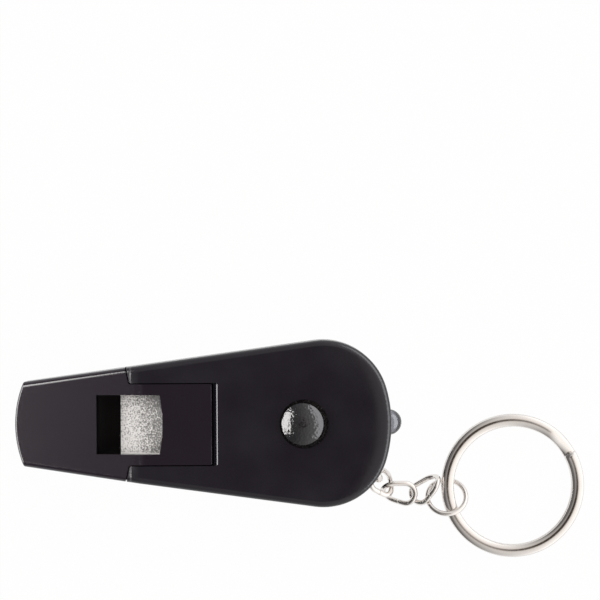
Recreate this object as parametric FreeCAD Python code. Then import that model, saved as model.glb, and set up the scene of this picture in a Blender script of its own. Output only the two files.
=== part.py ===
import FreeCAD, Part
import math
import os

from FreeCAD import Vector

os.makedirs("parts", exist_ok=True)

# Millimetres. X runs along the whistle to its round end, Z up from the flat back.
# The origin is on the back, on the button's axis.

# Body outline, seen from the front
body_length = 72.8
body_width = 32.1
body_height = 15.9
round_end_x = 16.8
round_end_radius = 24.9
shoulder_radius = 12.64
mouth_width = 16.4
mouth_arc_radius = 20.7
mouth_corner_radius = 0.5

# Body outline, seen from the side
mouth_height = 9.0
crease_x = -31.5
roll_length = 9.0
roll_height = 6.5
parting_z = 8.4
wall = 1.6
rim_fillet = 1.2
back_fillet = 1.0
crown_width = 4.4
crown_drop = 0.5

# Joints between the shells
lip_height = 0.8
lip_thickness = 0.75
fit_gap = 0.1
groove = 0.15
dowel_x = -12.0
dowel_y = 10.0
dowel_diameter = 2.4
dowel_height = 2.4
dowel_bore_depth = 3.2
dowel_boss_wall = 1.1

# Whistle
seam_x = -33.65
seam_lean = 13.0
seam_gap = 0.2
tongue_end_x = -17.6
tongue_end_gap = 0.3
tongue_half_width = 7.76
tongue_corner_radius = 0.5
tongue_chamfer = 0.2
cover_chamfer = 0.35
roof_thickness = 2.5
windway_height = 1.7
window_half_width = 5.7
window_start_x = -39.95
ramp_start_x = -35.35
ramp_end_x = -26.6
ramp_crest = 0.05
ramp_round = 1.5
ramp_dish_radius = 60.0
ramp_edge = 0.4
ramp_wall = 1.6
chamber_end_x = -24.0
chamber_wall = 1.4

# Button
button_hole_diameter = 9.4
button_diameter = 8.0
button_proud = 2.3
button_dome_radius = 6.2
button_flange_diameter = 11.0
button_flange_thickness = 1.0
button_running_gap = 0.1
button_side_play = 0.3
button_rest_x = -0.3
button_room = 2.45
plunger_diameter = 3.0
collar_wall = 1.2

# Light
led_diameter = 5.0
led_flange_diameter = 5.8
led_flange_thickness = 1.0
led_length = 8.7
led_proud = 2.1
led_fit = 0.05
led_rib_thickness = 1.2
led_rib_half_width = 4.0
led_stop_drop = 1.45
led_cup_x = 14.9
led_cup_depth = 0.6
led_cup_diameter = 1.5
led_cup_floor = 0.9
lead_thickness = 0.5
lead_spacing = 2.54

# Battery and contacts
cell_diameter = 11.6
cell_count = 3
cell_cap_diameter = 9.8
cell_cap_step = 0.35
sleeve_wall = 0.25
well_wall = 1.0
well_rim_drop = 2.05
strip_thickness = 0.3
strip_width = 4.0
strip_tab_height = 3.1
strip_back_reach = 3.9
washer_thickness = 0.6
washer_hole_diameter = 7.0
blade_thickness = 0.2
blade_width = 5.0
blade_tab_height = 1.4
contact_x = 8.2

# Pin and slot for the chain
slot_angle = -35.0
slot_width = 5.8
slot_height = 8.4
slot_depth = 2.8
slot_corner_radius = 1.4
pin_diameter = 1.6
pin_length = 6.4
pin_depth = 4.2
pin_fit = 0.03
pin_rib_thickness = 1.0
pin_rib_half_length = 1.6

# Chain of twisted links. Each turn is a heading, a dip and a roll, and each hold is the
# way from a link's near bow to the bow that it hangs in, in wire and gap widths.
wire_diameter = 1.05
wire_sides = 12
link_length = 7.4
link_width = 5.2
link_twist = 50.0
link_gap = 0.12
link_1_turn = (slot_angle, 0.0, 90.0)
link_2_turn = (-35.1, 47.3, -18.8)
link_2_hold = (0.975, -0.420, 0.205)
link_3_turn = (-7.9, -8.9, 28.1)
link_3_hold = (1.381, 0.437, 0.507)
link_4_turn = (40.7, -9.3, -43.5)
link_4_hold = (0.203, 0.780, 1.151)

# Jump ring and split ring
jump_ring_diameter = 8.5
jump_ring_wire = 1.0
jump_ring_slit = 0.15
jump_ring_slit_angle = 140.0
jump_ring_tilts = (-31.6, -1.1)
jump_ring_side = 124.1
jump_ring_hold = (0.276, 0.934, 2.426)
split_ring_diameter = 28.0
split_ring_band = 2.4
split_ring_coil = 1.2
split_ring_gap = 0.06
split_ring_bevel = 0.3
split_ring_tilts = (1.9, 2.4)
split_ring_side = -170.6
split_ring_play = 0.55
kink_start = 29.0
kink_end = 55.0
kink_sections = 9

# Worked out from the sizes above
mouth_x = round_end_x - body_length
shoulder_y = body_width / 2 - shoulder_radius
shoulder_x = (
    round_end_x - round_end_radius
    + math.sqrt((round_end_radius - shoulder_radius) ** 2 - shoulder_y ** 2)
)
slope = (body_height - mouth_height) / (crease_x - mouth_x)
roll_x = round_end_x - roll_length
roll_radius = (roll_length ** 2 + roll_height ** 2) / (2 * roll_height)
lid_depth = roof_thickness + windway_height
seat_z = body_height - slope * (crease_x - seam_x) - lid_depth
floor_z = wall
plate_z = body_height - wall
blade_top_z = plate_z - button_room
blade_z = blade_top_z - blade_thickness
cell_top_z = blade_z - washer_thickness
cell_bottom_z = floor_z + strip_thickness
cell_height = (cell_top_z - cell_bottom_z) / cell_count
led_base_x = round_end_x + led_proud - led_length
reach = body_length


def box(x0, x1, y0, y1, z0, z1):
    """A box between two corners."""
    return Part.makeBox(x1 - x0, y1 - y0, z1 - z0, Vector(x0, y0, z0))


def cylinder_z(radius, z0, z1, x=0.0, y=0.0):
    """An upright cylinder."""
    return Part.makeCylinder(radius, z1 - z0, Vector(x, y, z0))


def tube_z(outer, inner, z0, z1):
    """An upright tube on the button's axis."""
    return cylinder_z(outer, z0, z1).cut(cylinder_z(inner, z0 - 1, z1 + 1))


def joined(shapes):
    """One solid from touching ones, with the seams between them cleared."""
    return shapes[0].multiFuse(shapes[1:]).removeSplitter()


def taper_angle():
    """Angle of each long side from the centreline, as a tangent from the mouth's corner."""
    corner_x = mouth_x + mouth_arc_radius
    corner_x -= math.sqrt(mouth_arc_radius ** 2 - (mouth_width / 2) ** 2)
    run = shoulder_x - corner_x
    rise = shoulder_y - mouth_width / 2
    return math.atan2(rise, run) + math.asin(shoulder_radius / math.hypot(run, rise))


def outline(inset):
    """Face of the body's outline moved inwards by inset."""
    angle = taper_angle()
    along = Vector(math.cos(angle), math.sin(angle), 0)
    out = Vector(-math.sin(angle), math.cos(angle), 0)
    centre = Vector(shoulder_x, shoulder_y, 0)
    shoulder = shoulder_radius - inset
    tangent = centre + out * shoulder
    arc_centre = Vector(mouth_x + mouth_arc_radius, 0, 0)
    arc_radius = mouth_arc_radius - inset
    from_arc = tangent - arc_centre
    half = from_arc.dot(along)
    run = half + math.sqrt(half ** 2 - from_arc.dot(from_arc) + arc_radius ** 2)
    corner = tangent - along * run
    end_angle = math.atan2(shoulder_y, shoulder_x - round_end_x + round_end_radius)
    turn = Vector(math.cos(end_angle), math.sin(end_angle), 0)
    end_point = centre + turn * shoulder
    middle_angle = (end_angle + angle + math.pi / 2) / 2
    middle = centre + Vector(math.cos(middle_angle), math.sin(middle_angle), 0) * shoulder
    apex = Vector(round_end_x - inset, 0, 0)
    mouth = Vector(mouth_x + inset, 0, 0)

    def below(p):
        return Vector(p.x, -p.y, 0)

    edges = [
        Part.LineSegment(corner, tangent),
        Part.Arc(tangent, middle, end_point),
        Part.Arc(end_point, apex, below(end_point)),
        Part.Arc(below(end_point), below(middle), below(tangent)),
        Part.LineSegment(below(tangent), below(corner)),
        Part.Arc(below(corner), mouth, corner),
    ]
    return Part.Face(Part.Wire([e.toShape() for e in edges]))


def upright(inset, z0, z1):
    """The outline, inset, as an upright block."""
    face = outline(inset)
    face.translate(Vector(0, 0, z0))
    return face.extrude(Vector(0, 0, z1 - z0))


def side_block(inset, top):
    """The body's back and rolled-off end seen from the side, inset, up to a height."""
    far = mouth_x - 2 * wall
    radius = roll_radius - inset
    bend = math.radians(45)
    roll_middle = Vector(
        roll_x + radius * math.sin(bend), 0, roll_radius - radius * math.cos(bend)
    )
    points = [
        Vector(roll_x + radius, 0, roll_radius),
        Vector(roll_x + radius, 0, top),
        Vector(far, 0, top),
        Vector(far, 0, inset),
        Vector(roll_x, 0, inset),
    ]
    edges = [Part.LineSegment(a, b) for a, b in zip(points, points[1:])]
    edges.append(Part.Arc(points[-1], roll_middle, points[0]))
    face = Part.Face(Part.Wire([e.toShape() for e in edges]))
    face.translate(Vector(0, -body_width, 0))
    return face.extrude(Vector(0, 2 * body_width, 0))


def is_straight(edge):
    """True for an edge as long as the distance between its ends."""
    a, b = edge.firstVertex().Point, edge.lastVertex().Point
    return abs(edge.Length - (b - a).Length) < 0.001


def corner_edges(block):
    """The two upright edges at the mouth's corners."""
    return [
        e for e in block.Edges
        if e.BoundBox.ZLength > mouth_height / 2
        and e.BoundBox.XLength < 0.1 and e.BoundBox.YLength < 0.1
        and e.CenterOfMass.x < crease_x
    ]


def crown_cut():
    """What the crown takes off the level top along the round end."""
    outer = round_end_radius + wall
    start = round_end_radius - crown_width
    radius = (crown_width ** 2 + crown_drop ** 2) / (2 * crown_drop)
    run = outer - start
    half = math.asin(run / radius) / 2
    low = body_height - radius + math.sqrt(radius ** 2 - run ** 2)
    first = Vector(start, 0, body_height)
    last = Vector(outer, 0, low)
    middle = Vector(
        start + radius * math.sin(half), 0, body_height - radius * (1 - math.cos(half))
    )
    above = Part.makePolygon(
        [last, Vector(outer, 0, 2 * body_height), Vector(start, 0, 2 * body_height), first]
    )
    face = Part.Face(Part.Wire([Part.Arc(first, middle, last).toShape()] + above.Edges))
    face.rotate(Vector(0, 0, 0), Vector(0, 0, 1), -90)
    ring = face.revolve(Vector(0, 0, 0), Vector(0, 0, 1), 180)
    ring.translate(Vector(round_end_x - round_end_radius, 0, 0))
    return ring


def under_plane(rise, crowned):
    """The outline as a block under a plane through the crease, with its rim rounded."""
    x0, x1 = mouth_x - wall, round_end_x + wall
    z0, z1 = body_height - rise * (crease_x - x0), body_height + rise * (x1 - crease_x)
    side = drawn_across([(x0, -wall), (x1, -wall), (x1, z1), (x0, z0)], body_width)
    block = upright(0, 0, z1 + wall).common(side)
    lowest = 0.001
    if crowned:
        block = block.cut(crown_cut())
        lowest += crown_drop
    border = outline(0).OuterWire
    rims = []
    for e in block.Edges:
        ends = [e.firstVertex().Point, e.lastVertex().Point]
        falls = [body_height + rise * (p.x - crease_x) - p.z for p in ends]
        middle = e.valueAt((e.FirstParameter + e.LastParameter) / 2)
        on_border = Part.Vertex(middle.x, middle.y, 0).distToShape(border)[0] < 0.001
        is_mouth = max(p.x for p in ends) < crease_x
        if max(abs(f) for f in falls) < lowest and on_border and not is_mouth:
            rims.append(e)
    return block.makeFillet(rim_fillet, rims)


def outer_block():
    """The whole outside as one block, with its edges rounded."""
    block = upright(0, 0, body_height + wall).common(side_block(0, 2 * body_height))
    low = []
    for e in block.Edges:
        a, b = e.firstVertex().Point, e.lastVertex().Point
        is_upright = math.hypot(a.x - b.x, a.y - b.y) < 0.01
        is_crosswise = is_straight(e) and abs(a.x - b.x) < 0.01
        if max(a.z, b.z) < roll_height + 0.01 and not is_upright and not is_crosswise:
            low.append(e)
    block = block.makeFillet(back_fillet, low)
    block = block.common(under_plane(0.0, True)).common(under_plane(slope, False))
    block = block.removeSplitter()
    return block.makeFillet(mouth_corner_radius, corner_edges(block))


def inner_block(inset=wall):
    """The hollow that leaves a wall of inset all round."""
    top = body_height - inset
    return upright(inset, inset, top).common(side_block(inset, top))


def drawn_across(points, half_width):
    """A side view given by (x, z) corners, drawn from -half_width to half_width in Y."""
    corners = [Vector(x, -half_width, z) for x, z in points]
    face = Part.Face(Part.makePolygon(corners + corners[:1]))
    return face.extrude(Vector(0, 2 * half_width, 0))


def slope_region(depth, x0, x1, half_width, height=None):
    """A band that lies depth under the sloping top, from x0 to x1."""
    def z_at(x):
        return body_height - slope * (crease_x - x) - depth
    top = [(x1, z_at(x1) + height), (x0, z_at(x0) + height)] if height else [
        (x1, 2 * body_height), (x0, 2 * body_height)]
    return drawn_across([(x0, z_at(x0)), (x1, z_at(x1))] + top, half_width)


def mouth_side(grow):
    """Everything beyond the side seams, and the tongue, as an upright block grown by grow."""
    lean = math.tan(math.radians(seam_lean))
    half = tongue_half_width + grow
    side_x = seam_x + grow
    tongue_x = tongue_end_x + grow
    far_x = mouth_x - 2 * wall
    far_y = body_width
    outer_x = side_x - lean * (far_y - half)
    points = [Vector(far_x, -far_y, 0), Vector(outer_x, -far_y, 0), Vector(side_x, -half, 0)]
    points += [Vector(tongue_x, -half, 0), Vector(tongue_x, half, 0), Vector(side_x, half, 0)]
    points += [Vector(outer_x, far_y, 0), Vector(far_x, far_y, 0)]
    face = Part.Face(Part.makePolygon(points + points[:1]))
    block = face.extrude(Vector(0, 0, 2 * body_height))
    corners = [
        e for e in block.Edges
        if e.BoundBox.ZLength > body_height and abs(abs(e.CenterOfMass.y) - half) < 0.01
    ]
    return block.makeFillet(tongue_corner_radius, corners)


def edge_wedge(start, run, inward, size):
    """The corner that a chamfer takes off a straight edge of the level top."""
    lift = Vector(0, 0, size)
    corners = [start + inward * size, start - lift, start - inward * size + lift]
    corners.append(start + inward * size + lift)
    return Part.Face(Part.makePolygon(corners + corners[:1])).extrude(run)


def cover_wedges():
    """The corners taken off the cover along its seams with the whistle top."""
    lean = math.radians(seam_lean)
    half = tongue_half_width + seam_gap
    run = body_width / 2 - half + wall
    wedges = []
    for side in (-1, 1):
        start = Vector(seam_x + seam_gap, side * half, body_height)
        step = Vector(-math.tan(lean) * run, side * run, 0)
        inward = Vector(math.cos(lean), side * math.sin(lean), 0)
        wedges.append(edge_wedge(start, step, inward, cover_chamfer))
    start = Vector(tongue_end_x + seam_gap + tongue_end_gap, -half, body_height)
    across = Vector(0, 2 * half, 0)
    wedges.append(edge_wedge(start, across, Vector(1, 0, 0), cover_chamfer))
    return wedges


def ramp_angle():
    """Angle of a straight ramp that rounds over just above the level top."""
    rise = body_height + ramp_crest - (seat_z + ramp_edge)
    run = ramp_end_x - ramp_start_x
    spare = rise - 2 * ramp_round
    return 2 * math.atan((-run + math.sqrt(run ** 2 + rise * spare)) / spare)


def over_ramp_face():
    """Side view of the room over the ramp, to well above the level top."""
    angle = ramp_angle()
    low = Vector(ramp_start_x, 0, seat_z + ramp_edge)
    centre = Vector(ramp_end_x, 0, body_height + ramp_crest - ramp_round)
    start = centre + Vector(-math.sin(angle), 0, math.cos(angle)) * ramp_round
    middle = centre + Vector(-math.sin(angle / 2), 0, math.cos(angle / 2)) * ramp_round
    end = centre + Vector(0, 0, ramp_round)
    over_end, over_low = Vector(end.x, 0, 2 * body_height), Vector(low.x, 0, 2 * body_height)
    edges = [Part.LineSegment(low, start).toShape(), Part.Arc(start, middle, end).toShape()]
    edges += Part.makePolygon([end, over_end, over_low, low]).Edges
    return Part.Face(Part.Wire(edges))


def windway():
    """The air channel from the mouth to the window."""
    return slope_region(
        lid_depth, mouth_x - wall, window_start_x, window_half_width, windway_height
    )


def window():
    """The opening over the air gap and the ramp."""
    gap = drawn_across(
        [
            (window_start_x, 0), (ramp_start_x, 0),
            (ramp_start_x, 2 * body_height), (window_start_x, 2 * body_height),
        ],
        window_half_width,
    )
    face = over_ramp_face()
    pivot = Vector(0, 0, body_height + ramp_dish_radius)
    spread = 2 * math.degrees(math.asin(window_half_width / ramp_dish_radius))
    face.rotate(pivot, Vector(1, 0, 0), -spread)
    dished = face.revolve(pivot, Vector(1, 0, 0), 2 * spread)
    half = window_half_width
    over_ramp = dished.common(box(ramp_start_x, ramp_end_x, -half, half, 0, 2 * body_height))
    return gap.fuse(over_ramp)


def chamber_roof():
    """The hollow under the ramp and the tongue."""
    angle = ramp_angle()
    low_x = ramp_start_x + ramp_wall * math.sin(angle)
    low_z = seat_z + ramp_edge - ramp_wall * math.cos(angle)
    top_x = low_x + (plate_z - low_z) / math.tan(angle)
    return drawn_across(
        [
            (low_x, seat_z - wall), (low_x, low_z), (top_x, plate_z),
            (chamber_end_x, plate_z), (chamber_end_x, seat_z - wall),
        ],
        window_half_width,
    )


def whistle_top(block):
    """Mouthpiece lid with its air channel, window, ramp and tongue."""
    over_slope = slope_region(lid_depth, mouth_x - wall, seam_x, body_width)
    over_seat = box(seam_x, tongue_end_x, -body_width, body_width, seat_z, body_height)
    lid = block.common(mouth_side(0)).common(over_slope.fuse(over_seat))
    lid = lid.cut(window()).cut(windway()).cut(chamber_roof())
    end = Vector(tongue_end_x, -tongue_half_width, body_height)
    across = Vector(0, 2 * tongue_half_width, 0)
    return lid.cut(edge_wedge(end, across, Vector(-1, 0, 0), tongue_chamfer))


def polar(radius, angle, z):
    """Point at a radius and angle from the lower shoulder's centre."""
    a = math.radians(angle)
    return Vector(
        shoulder_x + radius * math.cos(a), -shoulder_y + radius * math.sin(a), z
    )


def along_slot():
    """Direction out of the chain's slot."""
    a = math.radians(slot_angle)
    return Vector(math.cos(a), math.sin(a), 0)


def pin_centre():
    """Middle of the pin that holds the chain."""
    return polar(shoulder_radius - pin_depth, slot_angle, parting_z)


def slot_block(length, half_width, z0, z1, start):
    """A block that runs out along the slot from start, measured from the pin."""
    block = Part.makeBox(length, 2 * half_width, z1 - z0, Vector(start, -half_width, z0))
    block.rotate(Vector(0, 0, 0), Vector(0, 0, 1), slot_angle)
    centre = pin_centre()
    block.translate(Vector(centre.x, centre.y, 0))
    return block


def chain_slot():
    """The opening in the side wall that the first link comes out of."""
    z0, z1 = parting_z - slot_height / 2, parting_z + slot_height / 2
    block = slot_block(slot_depth + wall, slot_width / 2, z0, z1, pin_depth - slot_depth)
    out = along_slot()
    edges = [
        e for e in block.Edges
        if abs(abs((e.lastVertex().Point - e.firstVertex().Point).normalize().dot(out)) - 1) < 0.01
    ]
    return block.makeFillet(slot_corner_radius, edges)


def pin_rod(radius, length):
    """A rod on the pin's axis."""
    out = along_slot()
    across = Vector(-out.y, out.x, 0)
    return Part.makeCylinder(radius, length, pin_centre() - across * (length / 2), across)


def pin_ribs(z0, z1):
    """The two ribs that the pin's ends lie in."""
    low = pin_length / 2 - pin_rib_thickness
    ribs = []
    for side in (-1, 1):
        rib = Part.makeBox(
            2 * pin_rib_half_length, pin_rib_thickness, z1 - z0,
            Vector(-pin_rib_half_length, low if side > 0 else -pin_length / 2, z0),
        )
        rib.rotate(Vector(0, 0, 0), Vector(0, 0, 1), slot_angle)
        centre = pin_centre()
        rib.translate(Vector(centre.x, centre.y, 0))
        ribs.append(rib.cut(pin_rod(pin_diameter / 2 + pin_fit, 2 * pin_length)))
    return ribs


def led_bore():
    """Clearance for the light's body, along X at the parting line."""
    return Part.makeCylinder(
        led_diameter / 2 + led_fit, reach, Vector(led_base_x, 0, parting_z), Vector(1, 0, 0)
    )


def led_rib(z0, z1):
    """The rib in front of the light's flange."""
    x0 = led_base_x + led_flange_thickness + fit_gap
    rib = box(
        x0, x0 + led_rib_thickness, -led_rib_half_width, led_rib_half_width, z0, z1
    )
    return rib.cut(led_bore())


def led_stop():
    """The low rib behind the light's flange, under its leads."""
    x1 = led_base_x - fit_gap
    z1 = parting_z - led_stop_drop
    return box(x1 - wall / 2, x1, -led_rib_half_width, led_rib_half_width, wall / 2, z1)


def dowels(radius, z0, z1):
    """Two upright rods at the dowels' places."""
    return [cylinder_z(radius, z0, z1, dowel_x, side * dowel_y) for side in (-1, 1)]


def lip(z0, z1, grow):
    """The step round the parting line that keeps the shells in line."""
    ring = upright(wall - lip_thickness - grow, z0, z1).cut(upright(wall, z0 - 1, z1 + 1))
    return ring.common(box(seam_x + 2 * wall, reach, -body_width, body_width, z0, z1))


def chamber_block():
    """The whistle chamber's walls, which carry the tongue."""
    half = window_half_width + chamber_wall
    block = box(seam_x - wall, chamber_end_x + chamber_wall, -half, half, 0, seat_z)
    return block.cut(slope_region(lid_depth, mouth_x, seam_x, body_width))


def back_shell(block):
    """The full-length back with the windway floor, chamber, ribs and cell well."""
    mouth_end = mouth_side(-seam_gap).common(
        box(mouth_x - wall, seam_x - seam_gap, -body_width, body_width, 0, body_height)
    )
    under_parting = box(mouth_x, reach, -body_width, body_width, 0, parting_z)
    under_parting = under_parting.cut(mouth_end)
    mouth_end = mouth_end.cut(slope_region(lid_depth, mouth_x - wall, seam_x, body_width))
    region = joined([mouth_end, under_parting, chamber_block()])
    shell = block.common(region)
    hollow = inner_block().common(
        box(seam_x + wall, reach, -body_width, body_width, 0, body_height)
    )
    shell = shell.cut(hollow.cut(chamber_block()))
    chamber = box(
        window_start_x, chamber_end_x, -window_half_width, window_half_width,
        floor_z, body_height,
    )
    shell = shell.cut(chamber)
    inside = inner_block(wall / 2)
    fittings = [lip(parting_z - wall, parting_z + lip_height, -fit_gap / 2)]
    fittings += pin_ribs(wall / 2, parting_z)
    fittings += [led_rib(wall / 2, parting_z), led_stop()]
    well_outer = cell_diameter / 2 + sleeve_wall + fit_gap + well_wall
    well_top = cell_top_z - well_rim_drop
    fittings.append(tube_z(well_outer, well_outer - well_wall, wall / 2, well_top))
    fittings += dowels(dowel_diameter / 2 + dowel_boss_wall, wall / 2, parting_z)
    fittings += dowels(dowel_diameter / 2, wall / 2, parting_z + dowel_height)
    shell = joined([shell] + [f.common(inside) for f in fittings])
    notch = box(
        0, contact_x, -strip_width / 2 - fit_gap, strip_width / 2 + fit_gap,
        floor_z, cell_bottom_z + fit_gap,
    )
    return shell.cut(notch).cut(led_bore()).cut(chain_slot()).removeSplitter()


def collar_bore():
    """Bore of the collar that the button's flange slides in."""
    return button_flange_diameter + 2 * (button_running_gap + button_side_play)


def front_cover(block):
    """The cover with the button's hole and collar, and its half of the ribs."""
    over_parting = box(mouth_x, reach, -body_width, body_width, parting_z, body_height)
    cover = block.common(over_parting).cut(mouth_side(seam_gap))
    longer = box(
        tongue_end_x, tongue_end_x + tongue_end_gap,
        -tongue_half_width - seam_gap, tongue_half_width + seam_gap, 0, 2 * body_height,
    )
    cover = cover.cut(longer)
    hollow = inner_block().common(
        box(seam_x + 2 * wall, reach, -body_width, body_width, 0, body_height)
    )
    cover = cover.cut(hollow)
    cover = cover.cut(lip(parting_z, parting_z + lip_height + fit_gap, fit_gap / 2))
    rim = upright(-wall, parting_z, parting_z + groove)
    cover = cover.cut(rim.cut(upright(groove, parting_z - wall, parting_z + wall)))
    inside = inner_block(wall / 2)
    collar_radius = collar_bore() / 2
    fittings = [tube_z(collar_radius + collar_wall, collar_radius, blade_top_z, body_height)]
    fittings += pin_ribs(parting_z, body_height)
    fittings.append(led_rib(parting_z, body_height))
    boss_low = parting_z + fit_gap
    for boss, bore in zip(
        dowels(dowel_diameter / 2 + dowel_boss_wall, boss_low, body_height),
        dowels(dowel_diameter / 2 + fit_gap, parting_z, parting_z + dowel_bore_depth),
    ):
        fittings.append(boss.cut(bore))
    cover = joined([cover] + [f.common(inside) for f in fittings])
    hole = cylinder_z(button_hole_diameter / 2, plate_z - wall, 2 * body_height)
    cover = cover.cut(hole).cut(led_bore()).cut(chain_slot())
    for wedge in cover_wedges():
        cover = cover.cut(wedge)
    return cover.removeSplitter()


def button_cap():
    """The domed cap with its flange and plunger."""
    radius = button_diameter / 2
    flange_radius = button_flange_diameter / 2
    flange_top = plate_z - fit_gap / 2
    flange_low = flange_top - button_flange_thickness
    plunger_low = blade_top_z + fit_gap / 2
    crown_z = body_height + button_proud
    centre_z = crown_z - button_dome_radius
    edge_z = centre_z + math.sqrt(button_dome_radius ** 2 - radius ** 2)
    half_way = math.asin(radius / button_dome_radius) / 2
    crown_side = Vector(
        button_dome_radius * math.sin(half_way), 0,
        centre_z + button_dome_radius * math.cos(half_way),
    )
    corners = [
        (0, crown_z), (0, plunger_low), (plunger_diameter / 2, plunger_low),
        (plunger_diameter / 2, flange_low), (flange_radius, flange_low),
        (flange_radius, flange_top), (radius, flange_top), (radius, edge_z),
    ]
    points = [Vector(r, 0, z) for r, z in corners]
    dome = Part.Arc(points[-1], crown_side, points[0]).toShape()
    profile = Part.Face(Part.Wire(Part.makePolygon(points).Edges + [dome]))
    cap = profile.revolve(Vector(0, 0, 0), Vector(0, 0, 1), 360)
    cap.translate(Vector(button_rest_x, 0, 0))
    return cap


def battery_cell(number):
    """One button cell: the can, and the smaller cap on its upper side."""
    z0 = cell_bottom_z + number * cell_height
    can_top = z0 + cell_height - cell_cap_step
    can = cylinder_z(cell_diameter / 2, z0, can_top)
    cap = cylinder_z(cell_cap_diameter / 2, can_top, z0 + cell_height)
    return joined([can, cap])


def cell_sleeve():
    """The insulating sleeve round the stack of cells."""
    inner = cell_diameter / 2 + fit_gap / 2
    return tube_z(inner + sleeve_wall, inner, cell_bottom_z + fit_gap, cell_top_z - fit_gap)


def washer():
    """The insulating ring that holds the blade off the top cell."""
    outer = cell_diameter / 2 + fit_gap / 2 + sleeve_wall
    return tube_z(outer, washer_hole_diameter / 2, cell_top_z, blade_z)


def contact_blade():
    """The spring strip over the cells, with a tab down to the light's lead."""
    half = blade_width / 2
    end_x = -(collar_bore() / 2 + collar_wall)
    strip = box(end_x, contact_x, -half, half, blade_z, blade_top_z)
    tab = box(
        contact_x - blade_thickness, contact_x, -half, half,
        blade_z - blade_tab_height, blade_top_z,
    )
    return joined([strip, tab])


def contact_strip():
    """The strip under the cells, with a tab up to the light's other lead."""
    half = strip_width / 2
    strip = box(-strip_back_reach, contact_x, -half, half, floor_z, cell_bottom_z)
    tab = box(
        contact_x - strip_thickness, contact_x, -half, half,
        floor_z, cell_bottom_z + strip_tab_height,
    )
    return joined([strip, tab])


def lead(side, z_end):
    """One lead: straight back out of the light, then bent along a contact's tab."""
    y = side * lead_spacing / 2
    half = lead_thickness / 2
    inner_x = led_base_x + led_flange_thickness
    run = box(contact_x, inner_x, y - half, y + half, parting_z - half, parting_z + half)
    z0, z1 = min(parting_z - half, z_end), max(parting_z + half, z_end)
    drop = box(contact_x, contact_x + lead_thickness, y - half, y + half, z0, z1)
    return joined([run, drop])


def inside_lens(corners):
    """A flat piece of the leads' strip inside the lens, from (x, y) corners."""
    points = [Vector(x, y, parting_z - lead_thickness / 2) for x, y in corners]
    face = Part.Face(Part.makePolygon(points + points[:1]))
    return face.extrude(Vector(0, 0, lead_thickness))


def anode_lead():
    """The lead that rises to the blade's tab, with its post beside the cup."""
    x0, x1 = led_base_x + led_flange_thickness, led_cup_x
    low, high = (lead_spacing - lead_thickness) / 2, (lead_spacing + lead_thickness) / 2
    post = inside_lens(
        [(x0, low), (x1 - led_cup_floor, low), (x1, led_cup_diameter / 2), (x1, high), (x0, high)]
    )
    return joined([lead(1, blade_z - fit_gap), post])


def cathode_lead():
    """The lead that drops to the strip's tab, with the anvil and cup that hold the chip."""
    x0, x1 = led_base_x + led_flange_thickness, led_cup_x
    low, high = -(lead_spacing + lead_thickness) / 2, -(lead_spacing - lead_thickness) / 2
    edge = led_cup_floor / 2
    anvil = inside_lens(
        [(x0, low), (x1, low), (x1, edge), (x1 - led_cup_depth, edge), (x0 + wall, high), (x0, high)]
    )
    start, forward = Vector(x1, 0, parting_z), Vector(1, 0, 0)
    radius, floor = led_cup_diameter / 2, led_cup_floor / 2
    rim = lead_thickness / 4
    cup = Part.makeCone(floor, radius, led_cup_depth, start, forward)
    hollow = Part.makeCone(
        floor - rim, radius - rim, led_cup_depth, start + forward * rim, forward
    )
    return joined([lead(-1, cell_bottom_z + fit_gap), anvil, cup.cut(hollow)])


def led_lens():
    """The light's clear body: flange, barrel and dome, with its leads let in."""
    radius = led_diameter / 2
    tip_x = led_base_x + led_length
    start = Vector(led_base_x, 0, parting_z)
    forward = Vector(1, 0, 0)
    barrel = Part.makeCylinder(radius, led_length - radius, start, forward)
    flange = Part.makeCylinder(led_flange_diameter / 2, led_flange_thickness, start, forward)
    dome = Part.makeSphere(radius, Vector(tip_x - radius, 0, parting_z))
    lens = joined([barrel, flange, dome])
    return lens.cut(anode_lead()).cut(cathode_lead())


def chain_pin():
    """The pin that the first link hangs on."""
    return pin_rod(pin_diameter / 2, pin_length)


def wire_section(centre, along, radius):
    """Face across a wire, with flats in place of the circle."""
    side = along.cross(Vector(0, 0, 1) if abs(along.z) < 0.9 else Vector(1, 0, 0))
    side.normalize()
    other = along.cross(side)
    corners = []
    for i in range(wire_sides):
        a = 2 * math.pi * (i + 0.5) / wire_sides
        corners.append(centre + side * (radius * math.cos(a)) + other * (radius * math.sin(a)))
    return Part.Face(Part.makePolygon(corners + corners[:1]))


def bent_on(section, start, tangent, end):
    """The wire along one arc from start to end, and its section at the end."""
    chord = end - start
    normal = tangent.cross(chord).normalize()
    inward = normal.cross(tangent)
    bend = chord.dot(chord) / (2 * chord.dot(inward))
    centre = start + inward * bend
    angle = 2 * math.degrees(math.asin(min(1.0, chord.Length / (2 * abs(bend)))))
    after = section.copy()
    after.rotate(centre, normal, angle)
    return section.revolve(centre, normal, angle), after


def bent_wire(points, tangents, radius):
    """A closed wire through points, two arcs to each span."""
    section = wire_section(points[0], tangents[0], radius)
    pieces = []
    for i, start in enumerate(points):
        end = points[(i + 1) % len(points)]
        t0, t1 = tangents[i], tangents[(i + 1) % len(points)]
        chord, both = end - start, t0 + t1
        spare = 2 * (1 - t0.dot(t1))
        reach_out = chord.dot(both)
        size = (-reach_out + math.sqrt(reach_out ** 2 + spare * chord.dot(chord))) / spare
        middle = (start + end + (t0 - t1) * size) * 0.5
        first = middle - start
        middle_tangent = first * (2 * first.dot(t0) / first.dot(first)) - t0
        piece, section = bent_on(section, start, t0, middle)
        pieces.append(piece)
        piece, section = bent_on(section, middle, middle_tangent, end)
        pieces.append(piece)
    return joined(pieces)


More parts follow.
